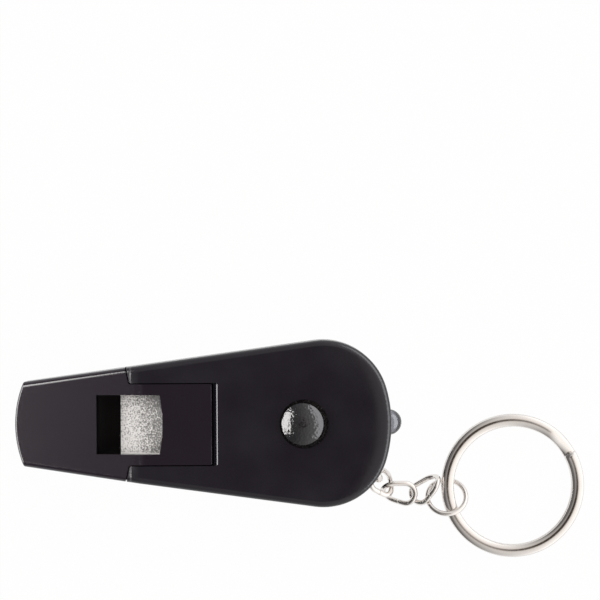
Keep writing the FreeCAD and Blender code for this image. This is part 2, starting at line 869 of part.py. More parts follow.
def directions(heading, dip, roll):
    """The link's own axes: along its length, across its face, and square to both."""
    h, d, r = math.radians(heading), math.radians(dip), math.radians(roll)
    along = Vector(math.cos(h) * math.cos(d), math.sin(h) * math.cos(d), -math.sin(d))
    level = Vector(-math.sin(h), math.cos(h), 0)
    up = along.cross(level)
    across = level * math.cos(r) + up * math.sin(r)
    return along, across, along.cross(across)


def chain_link(centre, heading, dip, roll):
    """One oval link of round wire, twisted along its length."""
    along, across, up = directions(heading, dip, roll)
    bow = (link_width - wire_diameter) / 2
    straight = link_length - link_width
    twist = -math.radians(link_twist) / (link_length - wire_diameter)
    points, tangents = [], []
    for end, first in ((1, -90), (-1, 90)):
        for step in range(4):
            a = math.radians(first + 60 * step)
            x, y = end * straight / 2 + bow * math.cos(a), bow * math.sin(a)
            dx, dy = -math.sin(a), math.cos(a)
            c, s = math.cos(twist * x), math.sin(twist * x)
            points.append(centre + along * x + across * (y * c) + up * (y * s))
            tangent = along * dx + across * (dy * c - y * s * twist * dx)
            tangent += up * (dy * s + y * c * twist * dx)
            tangents.append(tangent.normalize())
    return bent_wire(points, tangents, wire_diameter / 2)


def link_places():
    """Centre and turn of each link, from the pin outwards."""
    reach_out = (link_length - wire_diameter) / 2
    first = directions(*link_1_turn)[0]
    spacing = pin_diameter / 2 + link_gap + wire_diameter / 2
    centre = pin_centre() + first * (reach_out - spacing)
    places = [(centre, link_1_turn)]
    held = (link_2_turn, link_2_hold), (link_3_turn, link_3_hold), (link_4_turn, link_4_hold)
    for turn, hold in held:
        far = centre + directions(*places[-1][1])[0] * reach_out
        near = far - Vector(*hold) * (wire_diameter + link_gap)
        centre = near + directions(*turn)[0] * reach_out
        places.append((centre, turn))
    return places


def ring_axes(tilts):
    """Two axes in a tilted ring's plane, and the one square to it."""
    x, y = math.radians(tilts[0]), math.radians(tilts[1])
    u = Vector(math.cos(y), 0, -math.sin(y))
    v = Vector(math.sin(x) * math.sin(y), math.cos(x), math.sin(x) * math.cos(y))
    return u, v, u.cross(v)


def round_ring(axes, angle):
    """Direction in a ring's plane at an angle from its first axis."""
    a = math.radians(angle)
    return axes[0] * math.cos(a) + axes[1] * math.sin(a)


def jump_ring_centre():
    """Centre of the jump ring, hung in the last link."""
    centre, turn = link_places()[-1]
    far = centre + directions(*turn)[0] * ((link_length - wire_diameter) / 2)
    spacing = (wire_diameter + jump_ring_wire) / 2 + link_gap
    middle = (jump_ring_diameter - jump_ring_wire) / 2
    near = far - Vector(*jump_ring_hold) * spacing
    return near - round_ring(ring_axes(jump_ring_tilts), jump_ring_side) * middle


def split_ring_centre():
    """Centre of the split ring, with its band held inside the jump ring."""
    stack = (2 * split_ring_coil + split_ring_gap) / 2
    half_across = stack / abs(math.sin(math.radians(jump_ring_tilts[0])))
    inner = jump_ring_diameter / 2 - jump_ring_wire - link_gap
    room = math.sqrt(inner ** 2 - half_across ** 2) - split_ring_play
    distance = split_ring_diameter / 2 - split_ring_band + room
    return jump_ring_centre() - round_ring(ring_axes(split_ring_tilts), split_ring_side) * distance


def placed(shape, axes, centre):
    """A shape drawn round the origin, moved onto a ring's axes and centre."""
    u, v, w = axes
    matrix = FreeCAD.Matrix(
        u.x, v.x, w.x, centre.x, u.y, v.y, w.y, centre.y, u.z, v.z, w.z, centre.z, 0, 0, 0, 1
    )
    shape.Placement = FreeCAD.Placement(matrix)
    return shape


def jump_ring():
    """A ring of round wire with a narrow slit."""
    middle = (jump_ring_diameter - jump_ring_wire) / 2
    slit = math.degrees(jump_ring_slit / middle)
    section = wire_section(Vector(middle, 0, 0), Vector(0, 1, 0), jump_ring_wire / 2)
    ring = section.revolve(Vector(0, 0, 0), Vector(0, 0, 1), 360 - slit)
    ring.rotate(Vector(0, 0, 0), Vector(0, 0, 1), jump_ring_slit_angle + slit / 2)
    holder = Part.makeCompound([ring])
    return placed(holder, ring_axes(jump_ring_tilts), jump_ring_centre()).Solids[0]


def band_profile(angle, z):
    """Wire of the split ring's section with its corners taken off, at an angle and a height."""
    half_width, half_height = split_ring_band / 2, split_ring_coil / 2
    middle = split_ring_diameter / 2 - half_width
    w, h, b = half_width, half_height, split_ring_bevel
    corners = [(w, h - b), (w - b, h), (b - w, h), (-w, h - b)]
    corners += [(-w, b - h), (b - w, -h), (w - b, -h), (w, b - h)]
    points = [Vector(middle + r, 0, z + rise) for r, rise in corners]
    profile = Part.makePolygon(points + points[:1])
    profile.rotate(Vector(0, 0, 0), Vector(0, 0, 1), angle)
    return profile


def split_ring():
    """One strip wound twice round: a level coil, the kink up from it, and a level coil on top."""
    rise = split_ring_coil + split_ring_gap
    full = 360 - (kink_end - kink_start)
    axis = Vector(0, 0, 1)
    lower = Part.Face(band_profile(kink_end, -rise / 2)).revolve(Vector(0, 0, 0), axis, full)
    upper = Part.Face(band_profile(kink_end, rise / 2)).revolve(Vector(0, 0, 0), axis, full)
    sections = []
    for i in range(kink_sections):
        t = i / (kink_sections - 1)
        z = -rise / 2 * math.cos(math.pi * t)
        sections.append(band_profile(kink_start + t * (kink_end - kink_start), z))
    kink = Part.makeLoft(sections, True, True)
    ring = joined([lower, kink, upper])
    holder = Part.makeCompound([ring])
    return placed(holder, ring_axes(split_ring_tilts), split_ring_centre()).Solids[0]


def write(name, shape):
    """Writes one piece under its name."""
    shape.exportStep("parts/" + name + ".step")
    print(name, len(shape.Solids), round(shape.Volume, 3), shape.isValid())


def main():
    block = outer_block()
    write("back_shell", back_shell(block))
    write("front_cover", front_cover(block))
    write("whistle_top", whistle_top(block))
    write("button_cap", button_cap())
    for number in range(cell_count):
        write("battery_cell_" + str(number + 1), battery_cell(number))
    write("cell_sleeve", cell_sleeve())
    write("insulating_washer", washer())
    write("contact_blade", contact_blade())
    write("contact_strip", contact_strip())
    write("anode_lead", anode_lead())
    write("cathode_lead", cathode_lead())
    write("led_lens", led_lens())
    write("chain_pin", chain_pin())
    for number, (centre, turn) in enumerate(link_places(), 1):
        write("link_" + str(number), chain_link(centre, *turn))
    write("jump_ring", jump_ring())
    write("split_ring", split_ring())


main()
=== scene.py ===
import math

import bmesh
import bpy
from mathutils import Matrix, Vector


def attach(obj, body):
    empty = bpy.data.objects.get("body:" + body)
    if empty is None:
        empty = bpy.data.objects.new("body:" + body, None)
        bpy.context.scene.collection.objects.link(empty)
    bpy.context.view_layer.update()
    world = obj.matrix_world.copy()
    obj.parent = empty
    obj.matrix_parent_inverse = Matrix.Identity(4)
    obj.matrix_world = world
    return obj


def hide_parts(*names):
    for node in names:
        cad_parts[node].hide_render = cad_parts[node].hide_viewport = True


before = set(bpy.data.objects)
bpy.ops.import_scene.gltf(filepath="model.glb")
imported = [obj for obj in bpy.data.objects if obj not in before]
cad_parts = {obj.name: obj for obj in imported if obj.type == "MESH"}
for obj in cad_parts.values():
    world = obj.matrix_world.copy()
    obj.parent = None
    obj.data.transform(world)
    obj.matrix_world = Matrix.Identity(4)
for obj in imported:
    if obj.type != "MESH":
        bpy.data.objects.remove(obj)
bpy.context.view_layer.update()

# Shells: a full-length back and a front cover with the button's hole. Both are moulded in
# black ABS from satin tools, so they carry a fine even grain and meet at a parting line.

mm = 0.001
grain_scale = 3600.0
satin_gloss = 0.42
satin_depth = 0.0024


def effect(name, inputs, outputs):
    """An empty node group with float inputs and named outputs."""
    group = bpy.data.node_groups.new(name, "ShaderNodeTree")
    for label, value in inputs:
        socket = group.interface.new_socket(label, in_out="INPUT", socket_type="NodeSocketFloat")
        socket.default_value = value
    for label, kind in outputs:
        group.interface.new_socket(label, in_out="OUTPUT", socket_type=kind)
    return group, group.nodes.new("NodeGroupInput"), group.nodes.new("NodeGroupOutput")


def arithmetic(tree, operation, a, b=None, clamp=False):
    """A math node fed by sockets or numbers."""
    node = tree.nodes.new("ShaderNodeMath")
    node.operation = operation
    node.use_clamp = clamp
    for socket, value in zip(node.inputs, (a, b)):
        if isinstance(value, (int, float)):
            socket.default_value = value
        elif value is not None:
            tree.links.new(value, socket)
    return node.outputs[0]


def mapped(tree, value, low, high, to_low, to_high):
    """A value spread from one range to another, held inside it."""
    node = tree.nodes.new("ShaderNodeMapRange")
    tree.links.new(value, node.inputs["Value"])
    ends = {"From Min": low, "From Max": high, "To Min": to_low, "To Max": to_high}
    for label, number in ends.items():
        node.inputs[label].default_value = number
    return node.outputs["Result"]


def noise(tree, vector, scale, detail=2.0, roughness=0.5):
    """Noise on object coordinates, with scale in turns per metre."""
    node = tree.nodes.new("ShaderNodeTexNoise")
    tree.links.new(vector, node.inputs["Vector"])
    node.inputs["Scale"].default_value = scale
    node.inputs["Detail"].default_value = detail
    node.inputs["Roughness"].default_value = roughness
    return node.outputs["Fac"]


def object_place(tree):
    """Object coordinates."""
    return tree.nodes.new("ShaderNodeTexCoord").outputs["Object"]


def moulded_grain():
    """Tool grain of a moulded plastic: a fine height and a slow change of tone."""
    outputs = [("Height", "NodeSocketFloat"), ("Tone", "NodeSocketFloat")]
    group, given, out = effect("moulded_grain", [("Grain Scale", grain_scale)], outputs)
    place = object_place(group)
    fine = group.nodes.new("ShaderNodeTexNoise")
    group.links.new(place, fine.inputs["Vector"])
    group.links.new(given.outputs["Grain Scale"], fine.inputs["Scale"])
    fine.inputs["Detail"].default_value = 3.0
    group.links.new(fine.outputs["Fac"], out.inputs["Height"])
    group.links.new(noise(group, place, 90.0, 3.0), out.inputs["Tone"])
    return group


def finish_of(name, colour, roughness, metallic=0.0):
    """A material with its tree and its Principled shader."""
    material = bpy.data.materials.new(name)
    material.use_nodes = True
    tree = material.node_tree
    shader = tree.nodes["Principled BSDF"]
    shader.inputs["Base Color"].default_value = (*colour, 1.0)
    shader.inputs["Roughness"].default_value = roughness
    shader.inputs["Metallic"].default_value = metallic
    return material, tree, shader


def placed_group(tree, group, **values):
    """A shared effect in a material, with its own values."""
    node = tree.nodes.new("ShaderNodeGroup")
    node.node_tree = group
    for label, value in values.items():
        node.inputs[label.replace("_", " ")].default_value = value
    return node


def two_tones(tree, mask, dark, light):
    """A colour that goes from dark to light with a mask."""
    node = tree.nodes.new("ShaderNodeMix")
    node.data_type = "RGBA"
    tree.links.new(mask, node.inputs["Factor"])
    for label, colour in (("A", dark), ("B", light)):
        socket = next(s for s in node.inputs if s.name == label and s.type == "RGBA")
        if isinstance(colour, tuple):
            socket.default_value = (*colour, 1.0)
        else:
            tree.links.new(colour, socket)
    return next(s for s in node.outputs if s.type == "RGBA")


def raised(tree, shader, height, distance, strength=1.0):
    """A bump from a height, in units of the distance, into the shader's normal."""
    bump = tree.nodes.new("ShaderNodeBump")
    bump.inputs["Strength"].default_value = strength
    bump.inputs["Distance"].default_value = distance
    tree.links.new(height, bump.inputs["Height"])
    tree.links.new(bump.outputs["Normal"], shader.inputs["Normal"])


grain_group = moulded_grain()


def satin_plastic(name, dark, light, roughness, edges=()):
    """Black moulded ABS with a satin tool finish. Along each edge given, the surface leans
    off over a width from a place on X, between two distances from the middle line.
    """
    material, tree, shader = finish_of(name, dark, roughness)
    shader.inputs["Specular IOR Level"].default_value = satin_gloss
    grain = placed_group(tree, grain_group, Grain_Scale=grain_scale)
    slow = grain.outputs["Tone"]
    tree.links.new(two_tones(tree, slow, dark, light), shader.inputs["Base Color"])
    spread = mapped(tree, slow, 0.3, 0.7, roughness - 0.04, roughness + 0.04)
    tree.links.new(spread, shader.inputs["Roughness"])
    height = arithmetic(tree, "MULTIPLY", grain.outputs["Height"], satin_depth)
    if edges:
        fade = 0.3 * mm
        parts = tree.nodes.new("ShaderNodeSeparateXYZ")
        tree.links.new(object_place(tree), parts.inputs[0])
        far_y = arithmetic(tree, "ABSOLUTE", parts.outputs["Y"])
        for at, wide, lean, y_start, y_end in edges:
            fall = mapped(tree, parts.outputs["X"], at, at + wide, -lean * wide / mm, 0.0)
            start = mapped(tree, far_y, y_start - fade, y_start, 0.0, 1.0)
            end = mapped(tree, far_y, y_end - fade, y_end, 1.0, 0.0)
            fall = arithmetic(tree, "MULTIPLY", fall, arithmetic(tree, "MULTIPLY", start, end))
            height = arithmetic(tree, "ADD", height, fall)
    raised(tree, shader, height, mm)
    return material


def soft_shading(mesh, smooth_below=34.0, flat_area=12.0 * mm * mm):
    """Shades flat faces flat and blends the small faces of a rounding with their neighbours."""
    same_corner, same_level, tilt_steps = 0.001 * mm, 0.02 * mm, 400
    corners = [tuple(round(c / same_corner) for c in v.co) for v in mesh.vertices]
    planes, areas, touching = [], {}, {}
    for face in mesh.polygons:
        n = face.normal.copy()
        tilt = (round(c * tilt_steps) for c in n)
        plane = (*tilt, round(n.dot(face.center) / same_level))
        planes.append(plane)
        areas[plane] = areas.get(plane, 0.0) + face.area
        for i in face.vertices:
            touching.setdefault(corners[i], []).append((n, plane))
    limit = math.cos(math.radians(smooth_below))
    normals = []
    for face, plane in zip(mesh.polygons, planes):
        own = face.normal.copy()
        for i in face.vertices:
            blend = own.copy()
            if areas[plane] < flat_area:
                around = touching[corners[i]]
                near = [n * areas[other] for n, other in around if n.dot(own) > limit]
                blend = sum(near, Vector((0, 0, 0)))
            normals.append(blend.normalized())
    mesh.polygons.foreach_set("use_smooth", [True] * len(mesh.polygons))
    mesh.normals_split_custom_set(normals)


def dress(node, material):
    """Gives a node its finish, with soft shading over its rounded faces only."""
    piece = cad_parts[node]
    piece.data.materials.clear()
    piece.data.materials.append(material)
    if "sharp_edge" in piece.data.attributes:
        piece.data.attributes.remove(piece.data.attributes["sharp_edge"])
    soft_shading(piece.data)


shell_tones = ((0.0038, 0.0029, 0.0049), (0.0053, 0.0042, 0.0066))
shell_rough = 0.24
dress("back_shell", satin_plastic("shell_black", *shell_tones, shell_rough))

tongue_half_gap, seam_start, past_side = 7.95 * mm, 8.1 * mm, 20.0 * mm
cover_edges = [
    (-17.12 * mm, 0.20 * mm, -0.30, -mm, tongue_half_gap),
    (-16.94 * mm, 0.38 * mm, 0.50, -mm, tongue_half_gap),
    (-33.5 * mm, 0.35 * mm, 0.55, seam_start, past_side),
]
dress("front_cover", satin_plastic("cover_black", *shell_tones, shell_rough, cover_edges))

# Whistle top: the mouthpiece lid with its air window, ramp and tongue, one moulding in a
# slightly warmer black. Its ramp was spark eroded in the tool, so it is coarse and catches light;
# the pale grey of its grain is partly painted highlight, with painted shade towards its crest.

ramp_x = (-35.45 * mm, -26.5 * mm)
ramp_half_width = 5.69 * mm
ramp_low = 11.3 * mm
level_top = 15.9 * mm
lid_rough, rim_rough = 0.16, 0.42
lid_depth, crater_share = 0.0048, 9.0
crater_scale = 3300.0
lid_slope = 0.285
crease_x, crease_soft = -31.5 * mm, 1.1 * mm
crease_drop = lid_slope * crease_soft / 4


def eroded_top(name):
    """The lid's satin black, with the coarse spark grain on the ramp in a pale tone that is
    partly painted highlight, painted shade towards the crest and the +Y side, a painted highlight
    along the -Y edge, dulled rims towards the mouth and a crease that is eased in its shading.
    """
    dark, light = (0.0058, 0.0040, 0.0063), (0.0075, 0.0054, 0.0082)
    material, tree, shader = finish_of(name, dark, lid_rough)
    shader.inputs["Specular IOR Level"].default_value = satin_gloss
    place = object_place(tree)
    parts = tree.nodes.new("ShaderNodeSeparateXYZ")
    tree.links.new(place, parts.inputs[0])
    x, y, z = parts.outputs
    far_y = arithmetic(tree, "ABSOLUTE", y)
    below = mapped(tree, z, level_top - 0.12 * mm, level_top - 0.02 * mm, 1.0, 0.0)
    along = arithmetic(tree, "MULTIPLY", below, arithmetic(tree, "GREATER_THAN", x, ramp_x[0]))
    along = arithmetic(tree, "MULTIPLY", along, arithmetic(tree, "LESS_THAN", x, ramp_x[1]))
    across = arithmetic(tree, "LESS_THAN", far_y, ramp_half_width)
    above = arithmetic(tree, "GREATER_THAN", z, ramp_low)
    ramp = arithmetic(tree, "MULTIPLY", along, arithmetic(tree, "MULTIPLY", across, above))
    grain = placed_group(tree, grain_group, Grain_Scale=grain_scale)
    body = two_tones(tree, grain.outputs["Tone"], dark, light)
    crater = noise(tree, place, crater_scale, 2.0, 0.6)
    # Painted shade: the ramp's specks grow darker towards the crest and towards the +Y side, and
    # a painted highlight lightens them along the -Y edge.
    painted_light_falloff = mapped(tree, x, -33.4 * mm, -26.8 * mm, 0.0, 0.21)
    painted_light_falloff = arithmetic(tree, "ADD", painted_light_falloff, mapped(tree, y, 1.5 * mm, 5.6 * mm, 0.0, 0.07))
    painted_light_falloff = arithmetic(tree, "ADD", painted_light_falloff, mapped(tree, y, -5.5 * mm, -5.3 * mm, -0.3, 0.0))
    pits_and_painted_light = mapped(tree, arithmetic(tree, "SUBTRACT", crater, painted_light_falloff), 0.31, 0.52, 0.0, 1.0)
    # The specks' pale grey is partly painted highlight: the ramp is black plastic, and its
    # sparkle is painted into its colour.
    ramp_grain_and_painted_highlight = two_tones(tree, pits_and_painted_light, (0.028, 0.027, 0.026), (0.185, 0.178, 0.173))
    tree.links.new(two_tones(tree, ramp, body, ramp_grain_and_painted_highlight), shader.inputs["Base Color"])
    rough = mapped(tree, pits_and_painted_light, 0.0, 1.0, 0.54, 0.34)
    rough = arithmetic(tree, "ADD", arithmetic(tree, "MULTIPLY", rough, ramp), lid_rough)
    facing = tree.nodes.new("ShaderNodeSeparateXYZ")
    tree.links.new(tree.nodes.new("ShaderNodeNewGeometry").outputs["Normal"], facing.inputs[0])
    rim = mapped(tree, facing.outputs["X"], -0.55, -0.38, rim_rough, lid_rough)
    rough = arithmetic(tree, "MAXIMUM", rough, rim)
    tree.links.new(rough, shader.inputs["Roughness"])
    coarse = arithmetic(tree, "MULTIPLY", crater, crater_share)
    coarse = arithmetic(tree, "MULTIPLY", coarse, ramp)
    height = arithmetic(tree, "ADD", grain.outputs["Height"], coarse)
    height = arithmetic(tree, "MULTIPLY", height, lid_depth)
    off_crease = arithmetic(tree, "ABSOLUTE", arithmetic(tree, "SUBTRACT", x, crease_x))
    near = mapped(tree, off_crease, 0.0, crease_soft, 1.0, 0.0)
    near = arithmetic(tree, "MULTIPLY", near, near)
    near = arithmetic(tree, "MULTIPLY", near, -crease_drop / mm)
    near = arithmetic(tree, "MULTIPLY", near, arithmetic(tree, "SUBTRACT", 1.0, ramp))
    raised(tree, shader, arithmetic(tree, "ADD", height, near), mm)
    return material


dress("whistle_top", eroded_top("lid_black"))

# Button: a domed cap of semi-gloss black plastic that stands out of the cover's hole and
# presses the contact blade under it. Its tool was lightly sparked, so its highlights break up.

speck_scale, speck_depth = 2300.0, 0.065 * mm


def button_plastic(name):
    """Semi-gloss black with specks that break up its highlights."""
    material, tree, shader = finish_of(name, (0.0045, 0.0042, 0.0050), 0.24)
    shader.inputs["Specular IOR Level"].default_value = 0.55
    grain = placed_group(tree, grain_group, Grain_Scale=grain_scale)
    slow = grain.outputs["Tone"]
    tone = two_tones(tree, slow, (0.0040, 0.0037, 0.0045), (0.0060, 0.0056, 0.0065))
    tree.links.new(tone, shader.inputs["Base Color"])
    tree.links.new(mapped(tree, slow, 0.3, 0.7, 0.17, 0.22), shader.inputs["Roughness"])
    specks = noise(tree, object_place(tree), speck_scale, 0.0)
    faint = arithmetic(tree, "MULTIPLY", grain.outputs["Height"], 0.15)
    raised(tree, shader, arithmetic(tree, "ADD", faint, specks), speck_depth)
    return material


dress("button_cap", button_plastic("button_black"))

# Light: a 5 mm lamp cast in water-clear epoxy round its two tinned steel leads, held by its
# flange between ribs, with its dome standing out of the round end.


def clear_epoxy(name):
    """Cast epoxy, clear with a faint cool tint and slight waves from the mould."""
    material, tree, shader = finish_of(name, (0.62, 0.63, 0.68), 0.05)
    shader.inputs["Transmission Weight"].default_value = 1.0
    shader.inputs["IOR"].default_value = 1.53
    place = object_place(tree)
    cloud = noise(tree, place, 900.0, 2.0)
    tree.links.new(mapped(tree, cloud, 0.3, 0.7, 0.04, 0.10), shader.inputs["Roughness"])
    tint = two_tones(tree, cloud, (0.165, 0.17, 0.195), (0.22, 0.225, 0.255))
    tree.links.new(tint, shader.inputs["Base Color"])
    raised(tree, shader, noise(tree, place, 500.0, 1.0), 0.01 * mm, 0.5)
    return material


def worn_metal(name, dark, light, roughness, mark_scale, depth):
    """A metal with a slight change of tone and fine handling marks."""
    material, tree, shader = finish_of(name, light, roughness, 1.0)
    place = object_place(tree)
    slow = noise(tree, place, 260.0, 3.0)
    marks = noise(tree, place, mark_scale, 4.0, 0.6)
    tree.links.new(two_tones(tree, slow, dark, light), shader.inputs["Base Color"])
    spread = mapped(tree, marks, 0.3, 0.7, roughness * 0.7, roughness * 1.4)
    tree.links.new(spread, shader.inputs["Roughness"])
    raised(tree, shader, marks, depth)
    return material


tinned = worn_metal(
    "tinned_steel_lead", (0.52, 0.52, 0.51), (0.68, 0.68, 0.67), 0.28, 3000.0, 0.002 * mm
)
dress("led_lens", clear_epoxy("clear_epoxy_lens"))
dress("anode_lead", tinned)
dress("cathode_lead", tinned)

# Battery: three button cells stacked in a film sleeve, with a pressed board washer on top,
# a sprung brass blade above them and a brass strip below that run to the lamp's leads.

cell_metal = worn_metal(
    "cell_steel", (0.55, 0.55, 0.54), (0.72, 0.72, 0.71), 0.24, 2600.0, 0.003 * mm
)
brass = worn_metal(
    "contact_brass", (0.55, 0.43, 0.22), (0.76, 0.62, 0.36), 0.26, 2200.0, 0.003 * mm
)
for number in (1, 2, 3):
    dress(f"battery_cell_{number}", cell_metal)
dress("contact_blade", brass)
dress("contact_strip", brass)


def board(name, dark, light, roughness, scale, depth):
    """A plain film or pressed fibre with a fine fleck."""
    material, tree, shader = finish_of(name, light, roughness)
    fleck = noise(tree, object_place(tree), scale, 4.0, 0.65)
    tone = two_tones(tree, mapped(tree, fleck, 0.3, 0.7, 0.0, 1.0), dark, light)
    tree.links.new(tone, shader.inputs["Base Color"])
    raised(tree, shader, fleck, depth)
    return material


film = board("sleeve_film", (0.70, 0.69, 0.65), (0.82, 0.81, 0.77), 0.35, 900.0, 0.004 * mm)
fibre = board("washer_fibre", (0.50, 0.45, 0.34), (0.74, 0.69, 0.57), 0.8, 1500.0, 0.02 * mm)
dress("cell_sleeve", film)
dress("insulating_washer", fibre)

# Chain: a plain steel pin across the side slot, and four oval links of nickel-plated wire,
# each bent round, butted and then twisted so that the chain lies flat.

pin_metal = worn_metal(
    "pin_steel", (0.42, 0.42, 0.41), (0.60, 0.60, 0.59), 0.32, 2600.0, 0.003 * mm
)
dress("chain_pin", pin_metal)
nickel = worn_metal(
    "bright_nickel", (0.73, 0.69, 0.66), (0.83, 0.80, 0.775), 0.12, 1700.0, 0.001 * mm
)

weld = 0.0001 * mm
wire = 1.05 * mm
link_long, link_wide = 7.4 * mm, 5.2 * mm
link_twist = math.radians(-50.0)
link_steps = 56
butt_half, butt_share = 0.06 * mm, 0.86
links = {
    "link_1": (
        (12.007, -9.2433, 8.4), (0.81915, -0.57358, 0.0), (0.0, 0.0, 1.0),
    ),
    "link_2": (
        (15.2287, -11.8111, 5.8268), (0.55484, -0.38995, -0.73491), (0.35056, 0.91068, -0.21855),
    ),
    "link_3": (
        (18.4815, -13.9916, 3.3915), (0.97858, -0.13579, 0.15471), (0.04906, 0.88377, 0.46534),
    ),
    "link_4": (
        (23.7264, -13.2921, 3.0491), (0.74817, 0.64353, 0.16160), (-0.38868, 0.62247, -0.67931),
    ),
}


def on_axes(centre, first, second):
    """The transform from a piece's own axes to its place, with its centre in millimetres."""
    u, v = Vector(first).normalized(), Vector(second).normalized()
    w = u.cross(v)
    matrix = Matrix((u, v, w)).transposed().to_4x4()
    matrix.translation = Vector(centre) * mm
    return matrix


def new_piece(name, bm, material, body, slot, *nodes):
    """Puts a finished mesh on a body, where it stands for its nodes."""
    bmesh.ops.remove_doubles(bm, verts=bm.verts, dist=weld)
    bmesh.ops.recalc_face_normals(bm, faces=bm.faces)
    for face in bm.faces:
        face.smooth = True
    mesh = bpy.data.meshes.new(name)
    bm.to_mesh(mesh)
    bm.free()
    mesh.materials.append(material)
    piece = bpy.data.objects.new(name, mesh)
    bpy.context.scene.collection.objects.link(piece)
    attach(piece, body)
    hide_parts(*nodes)


def wire_circle(bm, radius, at, sides=20):
    """A wire's round section, standing across the Y axis at a distance along X."""
    turn = Matrix.Translation((at, 0, 0)) @ Matrix.Rotation(math.radians(90), 4, "X")
    return bmesh.ops.create_circle(bm, segments=sides, radius=radius, matrix=turn)["verts"]


def oval_link(centre, along, across):
    """A wire ring drawn out to an oval, nicked at its butt joint and twisted."""
    bm = bmesh.new()
    bow = (link_wide - wire) / 2
    stretch = (link_long - link_wide) / 2
    section = wire_circle(bm, wire / 2, bow)
    half_step = Matrix.Rotation(math.pi / link_steps, 3, "Z")
    bmesh.ops.rotate(bm, verts=section, cent=(0, 0, 0), matrix=half_step)
    edges = list({e for v in section for e in v.link_edges})
    bmesh.ops.spin(
        bm, geom=section + edges, cent=(0, 0, 0), axis=(0, 0, 1), dvec=(0, 0, 0),
        angle=2 * math.pi, steps=link_steps, use_merge=True, use_duplicate=False,
    )
    bmesh.ops.remove_doubles(bm, verts=bm.verts, dist=weld)
    for v in bm.verts:
        v.co.x += stretch if v.co.x > 0 else -stretch
    cuts = [i * stretch / 4 for i in range(-3, 4)] + [-butt_half, butt_half]
    for x in cuts:
        bmesh.ops.bisect_plane(
            bm, geom=list(bm.verts) + list(bm.edges) + list(bm.faces), dist=0.00001 * mm,
            plane_co=(x, 0, 0), plane_no=(1, 0, 0),
        )
    joint = [v for v in bm.verts if abs(v.co.x) < 0.01 * mm and v.co.y < 0]
    centre_line = Vector((0, -bow, 0))
    for v in joint:
        v.co = centre_line + (v.co - centre_line) * butt_share
    for v in bm.verts:
        turn = link_twist * v.co.x / (link_long - wire)
        v.co = Matrix.Rotation(turn, 3, "X") @ v.co
    bmesh.ops.transform(bm, matrix=on_axes(centre, along, across), verts=bm.verts)
    return bm


for name, (centre, along, across) in links.items():
    new_piece(f"twisted_{name}", oval_link(centre, along, across), nickel, name, "nickel", name)

# Jump ring: one turn of nickel-plated wire, closed to a slit, that joins the last link to
# the split ring.

jump_outer, jump_wire, jump_steps = 8.5 * mm, 1.0 * mm, 72
slit_wide, slit_at = 0.15 * mm, 140.0


def slit_ring(matrix):
    """A turn of round wire with its two cut ends facing."""
    bm = bmesh.new()
    middle = (jump_outer - jump_wire) / 2
    gap = slit_wide / middle
    section = wire_circle(bm, jump_wire / 2, middle)
    edges = list({e for v in section for e in v.link_edges})
    start = Matrix.Rotation(math.radians(slit_at) + gap / 2, 3, "Z")
    bmesh.ops.rotate(bm, verts=section, cent=(0, 0, 0), matrix=start)
    made = bmesh.ops.spin(
        bm, geom=section + edges, cent=(0, 0, 0), axis=(0, 0, 1), dvec=(0, 0, 0),
        angle=2 * math.pi - gap, steps=jump_steps, use_merge=False, use_duplicate=False,
    )
    last = [g for g in made["geom_last"] if isinstance(g, bmesh.types.BMEdge)]
    bmesh.ops.contextual_create(bm, geom=edges)
    bmesh.ops.contextual_create(bm, geom=last)
    bmesh.ops.transform(bm, matrix=matrix, verts=bm.verts)
    return bm


jump_place = on_axes(
    (27.8566, -14.9631, 2.4516), (0.99982, 0.0, 0.01920), (0.01006, 0.85173, -0.52389)
)
new_piece("jump_ring_wire", slit_ring(jump_place), nickel, "jump_ring", "nickel", "jump_ring")

# Split ring: hardened steel strip with rounded edges, wound twice round and kinked where it
# climbs from the lower coil to the upper one, then nickel-plated.

ring_outer, strip_wide, strip_thick = 28.0 * mm, 2.4 * mm, 1.2 * mm
coil_gap = 0.06 * mm
kink_from, kink_to = 29.0, 55.0
kink_steps, coil_steps = 16, 100


def wound_ring(matrix):
    """The strip's section carried round a level coil, up the kink and round again."""
    bm = bmesh.new()
    middle = (ring_outer - strip_wide) / 2
    climb = strip_thick + coil_gap
    section = wire_circle(bm, strip_thick / 2, 0.0, 24)
    for v in section:
        x, z = v.co.x / (strip_thick / 2), v.co.z / (strip_thick / 2)
        v.co.x = middle + x * strip_wide / 2
        v.co.z = z * strip_thick / 2 - climb / 2
    edges = list({e for v in section for e in v.link_edges})
    turn = Matrix.Rotation(math.radians(kink_to), 3, "Z")
    bmesh.ops.rotate(bm, verts=section, cent=(0, 0, 0), matrix=turn)
    geom = section + edges
    level = 360 - (kink_to - kink_from)
    runs = [(level, coil_steps, 0.0)]
    for i in range(kink_steps):
        before = math.cos(math.pi * i / kink_steps)
        after = math.cos(math.pi * (i + 1) / kink_steps)
        runs.append(((kink_to - kink_from) / kink_steps, 1, climb * (before - after) / 2))
    runs.append((level, coil_steps, 0.0))
    for angle, steps, rise in runs:
        made = bmesh.ops.spin(
            bm, geom=geom, cent=(0, 0, 0), axis=(0, 0, 1), dvec=(0, 0, rise / steps),
            angle=math.radians(angle), steps=steps, use_merge=False, use_duplicate=False,
        )
        geom = made["geom_last"]
    last = [g for g in geom if isinstance(g, bmesh.types.BMEdge)]
    bmesh.ops.contextual_create(bm, geom=edges)
    bmesh.ops.contextual_create(bm, geom=last)
    bmesh.ops.transform(bm, matrix=matrix, verts=bm.verts)
    return bm


ring_place = on_axes(
    (40.7925, -12.8214, 1.9805), (0.99912, 0.0, -0.04188), (0.00139, 0.99945, 0.03313)
)
new_piece("split_ring_coil", wound_ring(ring_place), nickel, "split_ring", "nickel", "split_ring")

# Studio: a pale floor under the whistle's back, and two soft lamps, one at the mouth's side
# and one past the ring, both flagged off the metal. The tent round them is dimmer at the
# mouth's side and dark overhead, where the camera stands.

floor_glow = 0.98


